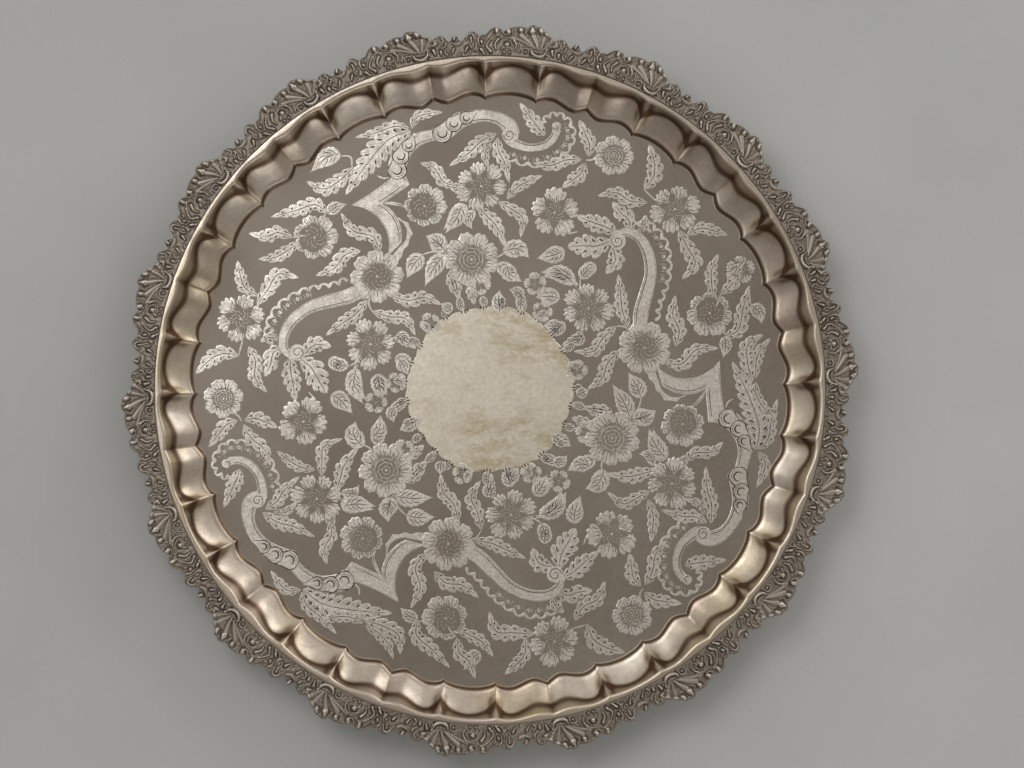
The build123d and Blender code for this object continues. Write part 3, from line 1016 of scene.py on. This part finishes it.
def add_leaf(plates, lines, points, width):
    """An acanthus leaf: lobes that lean forward, a cut midrib, veins, and a dark eye at each notch."""
    length = path_length(points)
    lobes = max(4, round(length / LOBE_LENGTH))
    steps = 9
    count = lobes * steps + 1
    path, across = smooth_path(points, count)
    share = np.linspace(0, 1, count)
    body = np.clip(np.sin(np.pi * share**0.9), 0, 1) ** 0.62 * (1 - 0.5 * share**3)
    phase = (share * lobes) % 1.0
    swell = np.sin(0.5 * np.pi * np.clip(phase / 0.62, 0, 1))
    lobe = np.where(phase < 0.62, swell, np.clip(np.cos(0.5 * np.pi * (phase - 0.62) / 0.38), 0, 1) ** 0.5)
    half = np.maximum(width / 2 * body * (0.66 + 0.34 * lobe), 0.12)
    rise = LEAF_RISE + plates.stagger()
    leaf_plate(plates, path, across, half, rise, LEAF_LEAN)
    rise += LINE_RISE
    lines.line(path[1:-3:3], 0.75, rise, 0.4)
    place = on_leaf(path, across, width / 2 * body, LEAF_LEAN)
    eye = 0.75 + width * 0.03
    for index in range(1, lobes):
        row = index * steps
        for side in (-1, 1):
            lines.line([place(row - 3 + k, side * (0.34, 0.46, 0.62)[k]) for k in range(3)], eye, rise)
            for back, reach in ((7, 0.7), (5, 0.82)):
                vein = [place(row - back + k, side * (0.3, 0.55, reach)[k]) for k in range(3)]
                lines.line(vein, 0.32, rise)


def add_bud(plates, lines, points, width):
    """A heart-shaped leaf: full near its base, with a pointed tip and curved veins."""
    count = 26
    path, across = smooth_path(points, count)
    share = np.linspace(0, 1, count)
    body = np.clip(1 - (1 - np.clip(share / 0.36, 0, 1)) ** 2, 0, 1) ** 0.5
    body = body * (1 - smoothstep((share - 0.42) / 0.58)) ** 0.75
    half = np.maximum(width / 2 * body * (1 + 0.06 * np.sin(share * 44)), 0.12)
    rise = LEAF_RISE + plates.stagger()
    leaf_plate(plates, path, across, half, rise, BUD_LEAN)
    rise += LINE_RISE
    lines.line(path[1:-4:3], 0.8, rise, 0.4)
    place = on_leaf(path, across, half, BUD_LEAN)
    for row in (4, 8, 12):
        for side in (-1, 1):
            vein = [place(row, side * 0.12), place(row + 2, side * 0.5), place(row + 5, side * 0.72)]
            lines.line(vein, 0.75, rise)
        lines.line([place(row + 1, 0.3), place(row + 3, 0.55)], 0.5, rise)


def petal_edges(kind, share, index, thin):
    """The inner and outer reach of a petal, as shares of the flower's radius."""
    fold = np.abs(share)
    jag = np.cos(np.arange(len(share)) * np.pi)
    if kind == "ragged":
        teeth = np.abs(np.sin(share * 6.6 + 0.9 * math.sin(index * 2.1)))
        outer = 0.84 + 0.11 * teeth + 0.05 * math.sin(index * 1.9) - 0.16 * fold**2.5
        inner = 0.36 + 0.26 * fold**1.5 + 0.035 * jag
    else:
        outer = 0.76 + 0.22 * np.sqrt(1 - fold**2.4) + 0.025 * np.cos(share * 9 + index)
        inner = 0.46 + 0.05 * fold**2 + 0.045 * jag
    outer = outer * (1 - 0.12 * thin)
    inner = np.minimum(outer - (outer - inner) * (1 - 0.5 * thin), outer - 0.05)
    return inner, outer


def add_flower(plates, lines, kind, middle, radius, petals, first, thinnest):
    """A ring of petals with cut lines at their roots, round a matte middle with fine strokes."""
    middle = np.array(middle, float)
    small = radius < SMALL_FLOWER
    rise = FLOWER_RISE + plates.stagger()
    span = np.pi / petals
    spread = span * (0.91 if kind == "ragged" else 0.985)

    def spot(angle, reach):
        return middle + radius * reach * np.array([math.cos(angle), math.sin(angle)])

    for index in range(petals):
        root = math.radians(first) + 2 * span * index
        thin = 0.0 if thinnest is None else (1 + math.cos(root - math.radians(thinnest))) / 2
        share = np.linspace(-1, 1, 25)
        angle = root + share * spread
        inner, outer = petal_edges(kind, share, index, thin)
        way = np.stack([np.cos(angle), np.sin(angle)], 1) * radius
        plates.band(middle + way * inner[:, None], middle + way * outer[:, None], rise, (0.0, 0.08, 0.9, 1.0))
        cuts = (-0.5, 0.0, 0.5) if small else (-0.72, -0.45, -0.2, 0.05, 0.3, 0.55, 0.78)
        for number, place in enumerate(cuts):
            start = float(np.interp(place, share, inner)) + 0.01
            deep = 0.20 + 0.12 * math.sin(number * 2.6 + index * 1.7)
            stop = min(start + deep, float(np.interp(place, share, outer)) - 0.06)
            if stop - start > 0.05:
                turn = root + place * spread
                width = 0.45 if small else 0.7
                lines.line([spot(turn, start), spot(turn + 0.03, stop)], width, rise + LINE_RISE)
            if number % 2 and not small:
                tip = float(np.interp(place, share, outer)) - 0.03
                lines.line([spot(turn - 0.05, tip - 0.13), spot(turn - 0.04, tip)], 0.35, rise + LINE_RISE)
    if kind == "ringed":
        for reach in (0.40, 0.27, 0.13):
            plates.ring(middle, radius * reach, radius * reach + 0.55, STEM_RISE)
    core = 0.31 if kind == "ragged" else 0.41
    strokes = 8 if small else 26
    for stroke in range(strokes):
        angle = STROKE_TURN * stroke + first
        reach = core * math.sqrt((stroke + 0.6) / strokes)
        start = spot(angle, reach)
        bend = spot(angle + 0.25, reach + 0.05)
        end = spot(angle + 0.2, reach + 0.1 + 0.03 * math.sin(stroke * 2.9))
        plates.line([start, bend, end], 0.42, STEM_RISE - 0.01)
    plates.ring(middle, 0.2, radius * 0.05, STEM_RISE, 10)


def edge_lines(lines, left, right, rise):
    """The double line cut along one side of a strap and the single one along the other."""
    for share, width in ((0.78, 0.8), (0.90, 0.35), (0.06, 0.35)):
        side = left + (right - left) * share
        lines.line(side[3:-3:4], width, rise, 0.3)


def add_strap(plates, lines, left_points, right_points):
    """A polished band between two edges, with the lines cut along them."""
    count = 10 * len(left_points)
    left, _ = smooth_path(left_points, count)
    right, _ = smooth_path(right_points, count)
    rise = STRAP_RISE + plates.stagger()
    plates.band(left, right, rise)
    edge_lines(lines, left, right, rise + LINE_RISE)


def add_spiral(lines, middle, radius, turns, first, rise, width):
    """A cut line that winds inward from an angle in degrees."""
    turn = np.linspace(0, turns * 2 * np.pi, 26)
    reach = radius * (1 - 0.8 * turn / turn[-1])
    spiral = around(reach, math.radians(first) + turn, middle)
    lines.line(spiral[::2], width, rise, 0.3)


def add_volute(plates, lines, middle, radius):
    """A round curl with a spiral cut in it."""
    rise = STRAP_RISE + OVER_STRAP + plates.stagger()
    plates.ring(middle, 0.1, radius, rise)
    turns = 1.4 if radius > SMALL_VOLUTE else 0.6
    add_spiral(lines, middle, radius * 0.82, turns, 200, rise + LINE_RISE, 0.8)


def add_curl(plates, lines, middle, radius, direction, order):
    """A comma-shaped curl on a strap, with cut crescents; its head lies over the last one's tail."""
    rise = STRAP_RISE + OVER_STRAP + CURL_STEP * order
    along = np.array([math.cos(math.radians(direction)), math.sin(math.radians(direction))])
    aside = np.array([-along[1], along[0]])
    spine = [np.array(middle) + radius * (u * along + v * aside) for u, v in CURL_SPINE]
    count = 31
    path, across = smooth_path(spine, count)
    places, shares = zip(*CURL_WIDTHS)
    half = (radius * np.interp(np.linspace(0, 1, count), places, shares))[:, None]
    plates.band(path + across * half, path - across * half, rise)
    for side in (-1, 1):
        lines.line((path + across * half * 0.92 * side)[3:-2:3], 0.8, rise + LINE_RISE, 0.3)
    crescents = ((0.94, 75, 330, 0.8), (0.45, 120, 350, 1.5), (0.70, 170, 290, 0.6))
    for reach, start, stop, width in crescents:
        turn = np.radians(direction + np.linspace(start, stop, 9))
        arc = around(radius * reach, turn, middle)
        lines.line(arc, width, rise + LINE_RISE, 0.6)


def add_frill(plates, lines, points):
    """A scalloped ribbon, with short strokes and small rings inside its curve."""
    waves = round(path_length(points) / WAVE_LENGTH)
    count = waves * 12
    path, across = smooth_path(points, count)
    turn = across[count // 2] @ (path[count // 2] - (path[0] + path[-1]) / 2)
    outward = across if turn > 0 else -across
    ribbon_plate(plates, path, outward, waves)
    last = count - count // 3
    for at in range(4, last, 4):
        start = path[at] - outward[at] * 2.8
        end = path[at] - outward[at] * (8.0 + 2.0 * math.sin(at))
        plates.line([start, end], 0.55, STEM_RISE)
    for at in range(8, last, 12):
        plates.ring(path[at] - outward[at] * 5.6, 0.9, 1.9, LEAF_RISE, 12)


def ribbon_plate(plates, path, outward, waves):
    """The scalloped ribbon itself, of the given number of waves."""
    phase = np.linspace(0, 2 * np.pi * waves, len(path))
    wave = 4.6 * np.abs(np.sin(phase / 2)) ** 0.7 - 2.2
    middle = path + outward * wave[:, None]
    along = np.gradient(middle, axis=0)
    along /= np.linalg.norm(along, axis=1)[:, None]
    side = np.stack([-along[:, 1], along[:, 0]], 1) * (1.35 + 0.35 * np.cos(phase))[:, None]
    plates.band(middle + side, middle - side, LEAF_RISE + plates.stagger(), (0.0, 0.1, 0.9, 1.0))


def add_ribbon(plates, left_points, right_points):
    """A ribbon that widens to one end, with lobes along its right edge."""
    count = 50
    left, _ = smooth_path(left_points, count)
    right, across = smooth_path(right_points, count)
    lobes = 1.6 * np.abs(np.sin(np.linspace(0, 4.5 * np.pi, count)))
    right = right - across * lobes[:, None]
    plates.band(left, right, LEAF_RISE + plates.stagger())


def add_tassels(plates, lines):
    """Small hanging buds with dark tips, round the third of the medallion that faces the view."""
    for index in range(TASSELS):
        angle = math.radians((index - (TASSELS - 1) / 2) * 120 / TASSELS)
        outer = 97 + 3.0 * math.sin(index * 2.3)
        tip = 83.0 + 1.5 * math.sin(index * 1.7)
        side = 1.6 * math.sin(index * 2.9)
        out = np.array([math.sin(angle), math.cos(angle)])
        across = np.array([out[1], -out[0]])
        add_bud(plates, lines, (out * outer, out * (outer + tip) / 2 + across * side, out * tip), 8.5)
        for lean in (-2.3, 0.4, 2.6):
            start = out * (tip + 3.5) + across * lean
            end = out * (tip - 0.8 + abs(lean) * 0.6) + across * (lean * 1.5)
            lines.line([start, (start + end) / 2 + across * 0.3, end], 1.3, FLOWER_RISE)


def third_of_engraving(index):
    """The plates and dark lines of one third of the design."""
    leaves, flowers, straps, lines = (Plates() for _ in range(4))
    groups = (leaves, flowers, straps, lines)
    views = (
        (VIEW_A, LEAVES_A, BUDS_A, FLOWERS_A, STRAPS_A, VOLUTES_A, (), FRILLS_A, STEMS_A),
        (VIEW_B, LEAVES_B, BUDS_B, FLOWERS_B, STRAPS_B, VOLUTES_B, CURLS_B, FRILLS_B, STEMS_B),
    )
    extras = EXTRAS[index]
    for view, leaf_list, bud_list, flower_list, strap_list, volutes, curls, frills, stems in views:
        marks = [len(group.points) for group in groups]
        if view == VIEW_A:
            add_tassels(leaves, lines)
            add_ribbon(straps, *RIBBON)
            leaf_list, bud_list, flower_list, stems = (
                usual + extra for usual, extra in zip((leaf_list, bud_list, flower_list, stems), extras)
            )
        for points, width in leaf_list:
            add_leaf(leaves, lines, points, width)
        for points, width in bud_list:
            add_bud(leaves, lines, points, width)
        for points in stems:
            leaves.line(points, 1.8, STEM_RISE)
        for flower in flower_list:
            add_flower(flowers, lines, *flower)
        for points in frills:
            add_frill(straps, lines, points)
        for left, right in strap_list:
            add_strap(straps, lines, left, right)
        for middle, radius in volutes:
            add_volute(straps, lines, middle, radius)
        for curl in curls:
            add_curl(straps, lines, *curl)
        for group, mark in zip(groups, marks):
            angle = view + 360 / THIRDS * index - 90
            group.points[mark:] = turned(group.points[mark:], angle, WELL_TOP).tolist()
    for group, name, metal in (
        (leaves, "leaves", ENGRAVED_METAL),
        (flowers, "flowers", ENGRAVED_METAL),
        (straps, "straps", ENGRAVED_METAL),
        (lines, "cut_lines", CUT_METAL),
    ):
        piece = make_piece(f"{name}_{index + 1}", group.points, group.faces, metal)
        piece.data.polygons.foreach_set("use_smooth", [False] * len(piece.data.polygons))
        face_outward(piece, merge=False)


for third in range(THIRDS):
    third_of_engraving(third)


def medallion():
    """The plain middle: a thin raised plate with a scalloped edge."""
    count = 360
    turn = np.linspace(0, 2 * np.pi, count, endpoint=False)
    scallops = 1.8 * np.abs(np.sin(turn * MEDALLION_SCALLOPS / 2))
    edge = MEDALLION_RADIUS + scallops + 1.4 * np.sin(turn * 6 + 0.7)
    rows = []
    top = MEDALLION_RISE
    for share, height in ((0.0, top), (0.5, top), (0.985, top), (1.0, top / 2), (1.0, -SUNK), (0.0, -SUNK)):
        rows.append(np.column_stack([around(edge * share, turn), np.full(count, WELL_TOP + height)]))
    faces = grid_faces(len(rows), count, closed=True)
    piece = make_piece("medallion", np.concatenate(rows), faces, MEDALLION_METAL)
    face_outward(piece)


medallion()


# ---------------------------------------------------------------- the feet

FEET = 4
FIRST_FOOT = 45.0
FOOT_CIRCLE = 250.0
FOOT_TOP = 22.5
PAD_THICKNESS = 2.0
TOE_RADIUS = 6.8
TOE_HEIGHT = 6.5  # just under the toe's radius, which leaves a flat sole
HALF_WIDTH = 9.6
PAD_SIZE = 18.4
PAD_OUT = 1.0  # the pad's middle lies this far outside the foot's circle
SPIRAL_TURN = 3.6 * math.pi
SPIRAL_STEPS = 60
SPIRAL_SIDES = 8
SPIRAL_INSET = 0.75  # how far the spiral's middle lies inside the foot's side
# Front and back of the scroll above its toe, as (distance out from the foot's circle, height)
FOOT_FRONT = ((14.2, 20.6), (13.4, 17.0), (11.6, 13.2), (8.4, 9.8), (6.6, 7.2))
FOOT_BACK = ((-2.6, 13.0), (-4.2, 14.6), (-5.4, 16.6), (-8.6, 18.6), (-11.8, 20.6))


def foot_profile():
    """The scroll's closed side outline, from the knee down the front and round the toe."""
    front, _ = smooth_path(FOOT_FRONT, 14)
    back, _ = smooth_path(FOOT_BACK, 12)
    turn = np.radians(np.linspace(-4, -250, 30))
    toe = np.stack([TOE_RADIUS * np.cos(turn), np.maximum(TOE_HEIGHT + TOE_RADIUS * np.sin(turn), 0.0)], 1)
    return np.concatenate([front, toe, back])


def add_spiral_tube(points, faces, side):
    """A raised spiral on one cheek of the toe."""
    base = len(points)
    for turn in np.linspace(0, SPIRAL_TURN, SPIRAL_STEPS):
        reach = 5.6 * (1 - 0.86 * turn / SPIRAL_TURN)
        radius = 0.95 * (1 - 0.5 * turn / SPIRAL_TURN)
        for k in range(SPIRAL_SIDES):
            a = 2 * math.pi * k / SPIRAL_SIDES
            out = reach + radius * math.cos(a)
            y = side * (HALF_WIDTH - SPIRAL_INSET + radius * math.sin(a))
            points.append([FOOT_CIRCLE + out * math.cos(turn), y, TOE_HEIGHT + out * math.sin(turn)])
    for face in grid_faces(SPIRAL_STEPS, SPIRAL_SIDES, closed=True):
        faces.append(tuple(base + k for k in face))
    last = base + (SPIRAL_STEPS - 1) * SPIRAL_SIDES
    faces.append(tuple(base + k for k in range(SPIRAL_SIDES)))
    faces.append(tuple(last + k for k in reversed(range(SPIRAL_SIDES))))


def scroll_foot():
    """One foot on +X: a fluted scroll that narrows at its waist, with a shell-edged pad."""
    profile = foot_profile()
    count = len(profile)
    middle = np.array([1.5, 11.0])  # the point that the outline shrinks towards
    stations = np.linspace(-1, 1, 41)
    height = profile[:, 1]
    waist = 0.70 + 0.30 * np.clip(np.abs(height - 12.5) / 8.0, 0, 1) ** 1.4
    rows = []
    inward = (middle - profile) / np.linalg.norm(middle - profile, axis=1)[:, None]
    for station in stations:
        shrink = 0.12 * np.clip((abs(station) - 0.8) / 0.2, 0, 1) ** 2
        flute = 0.35 * np.cos(station * 3.5 * np.pi) * (abs(station) < 0.97)
        moved = profile + inward * (0.45 - flute + 5.0 * shrink)[..., None] * (height > 0.3)[:, None]
        y = HALF_WIDTH * station * waist
        z = np.clip(moved[:, 1], 0.0, FOOT_TOP - 0.4)
        rows.append(np.stack([FOOT_CIRCLE + moved[:, 0], y, z], 1))
    points = np.concatenate(rows).tolist()
    faces = grid_faces(len(stations), count, closed=True)
    faces.append(tuple(reversed(range(count))))
    faces.append(tuple((len(stations) - 1) * count + k for k in range(count)))
    for side in (-1, 1):
        add_spiral_tube(points, faces, side)
    base = len(points)
    turns = 96
    turn = np.linspace(0, 2 * np.pi, turns, endpoint=False)
    lobed = PAD_SIZE * (0.93 + 0.07 * np.abs(np.cos(turn * 5.5)))
    under = FOOT_TOP - PAD_THICKNESS
    rings = (
        (0.0, FOOT_TOP, 0.0), (0.96, FOOT_TOP, 0.0), (1.0, FOOT_TOP - 0.5, 0.0), (0.97, FOOT_TOP - 1.1, 0.0),
        (0.8, under + 0.35, 0.3), (0.55, under, 0.3), (0.3, under, 0.1), (0.0, under, 0.0),
    )
    for share, level, rib in rings:
        for k in range(turns):
            reach = lobed[k] * share
            z = level + rib * math.cos(turn[k] * 22)
            x = FOOT_CIRCLE + PAD_OUT + reach * math.cos(turn[k])
            points.append([x, reach * math.sin(turn[k]), z])
    for face in grid_faces(len(rings), turns, closed=True):
        faces.append(tuple(base + k for k in face))
    return np.array(points), faces


def feet():
    """Each foot is the same casting, turned to its place; the patch plates only get their metal."""
    points, faces = scroll_foot()
    for index in range(FEET):
        name = f"foot_{index + 1}"
        spun = turned(points, FIRST_FOOT + index * 360 / FEET)
        piece = make_piece(f"scroll_{name}", spun, faces, FOOT_METAL, name)
        face_outward(piece)
        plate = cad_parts[f"foot_plate_{index + 1}"]
        plate.data.materials.clear()
        plate.data.materials.append(PLATE_METAL)


feet()


# ---------------------------------------------------------------- the stage

def studio():
    """A pale floor, a graded grey background and three soft lights."""
    bpy.ops.mesh.primitive_plane_add(size=8.0, location=(0, 0, 0))
    floor = bpy.context.object
    floor.name = "floor"
    n = Nodes("floor_paint")
    n.finish(
        n.ramp(n.noise(3.0), (0.3, (0.50, 0.51, 0.50)), (0.7, (0.56, 0.57, 0.56))),
        n.ramp(n.noise(8.0), (0.3, 0.8), (0.7, 0.9)),
        metallic=0.0,
    )
    floor.data.materials.append(n.material)

    world = bpy.data.worlds.new("studio")
    bpy.context.scene.world = world
    world.use_nodes = True
    tree = world.node_tree
    place = tree.nodes.new("ShaderNodeTexCoord")
    split = tree.nodes.new("ShaderNodeSeparateXYZ")
    ramp = tree.nodes.new("ShaderNodeValToRGB")
    ramp.color_ramp.elements[0].position = 0.2
    ramp.color_ramp.elements[0].color = (0.30, 0.275, 0.25, 1)
    ramp.color_ramp.elements[1].position = 0.9
    ramp.color_ramp.elements[1].color = (0.80, 0.77, 0.73, 1)
    half = tree.nodes.new("ShaderNodeMath")
    half.operation = "MULTIPLY_ADD"
    half.inputs[1].default_value = 0.5
    half.inputs[2].default_value = 0.5
    tree.links.new(place.outputs["Generated"], split.inputs["Vector"])
    tree.links.new(split.outputs["Y"], half.inputs[0])
    tree.links.new(half.outputs[0], ramp.inputs["Fac"])
    tree.links.new(ramp.outputs["Color"], tree.nodes["Background"].inputs["Color"])
    tree.nodes["Background"].inputs["Strength"].default_value = 0.75

    for name, place, size, power in (
        ("high_left", (-1.1, 1.1, 3.0), 1.5, 20.0),
        ("low_right", (1.9, 1.8, 1.2), 1.8, 16.0),
        ("fill", (1.0, -2.2, 1.4), 2.0, 10.0),
    ):
        light = bpy.data.lights.new(name, "AREA")
        light.size = size
        light.energy = power
        lamp = bpy.data.objects.new(name, light)
        lamp.location = place
        lamp.rotation_euler = (-Vector(place)).to_track_quat("-Z", "Y").to_euler()
        bpy.context.scene.collection.objects.link(lamp)


def camera():
    """Looks down at the well from just off its axis."""
    distance = 3.0
    elevation = math.radians(85.5)
    data = bpy.data.cameras.new("camera")
    data.lens = 103.0
    data.shift_x = 0.0215
    data.shift_y = 0.0049
    eye = bpy.data.objects.new("camera", data)
    bpy.context.scene.collection.objects.link(eye)
    target = Vector((0, 0, WELL_TOP * MM))
    eye.location = target + distance * Vector((0, -math.cos(elevation), math.sin(elevation)))
    eye.rotation_euler = (math.radians(90) - elevation, 0, 0)
    bpy.context.scene.camera = eye
    bpy.context.scene.view_settings.view_transform = "Standard"


studio()
camera()
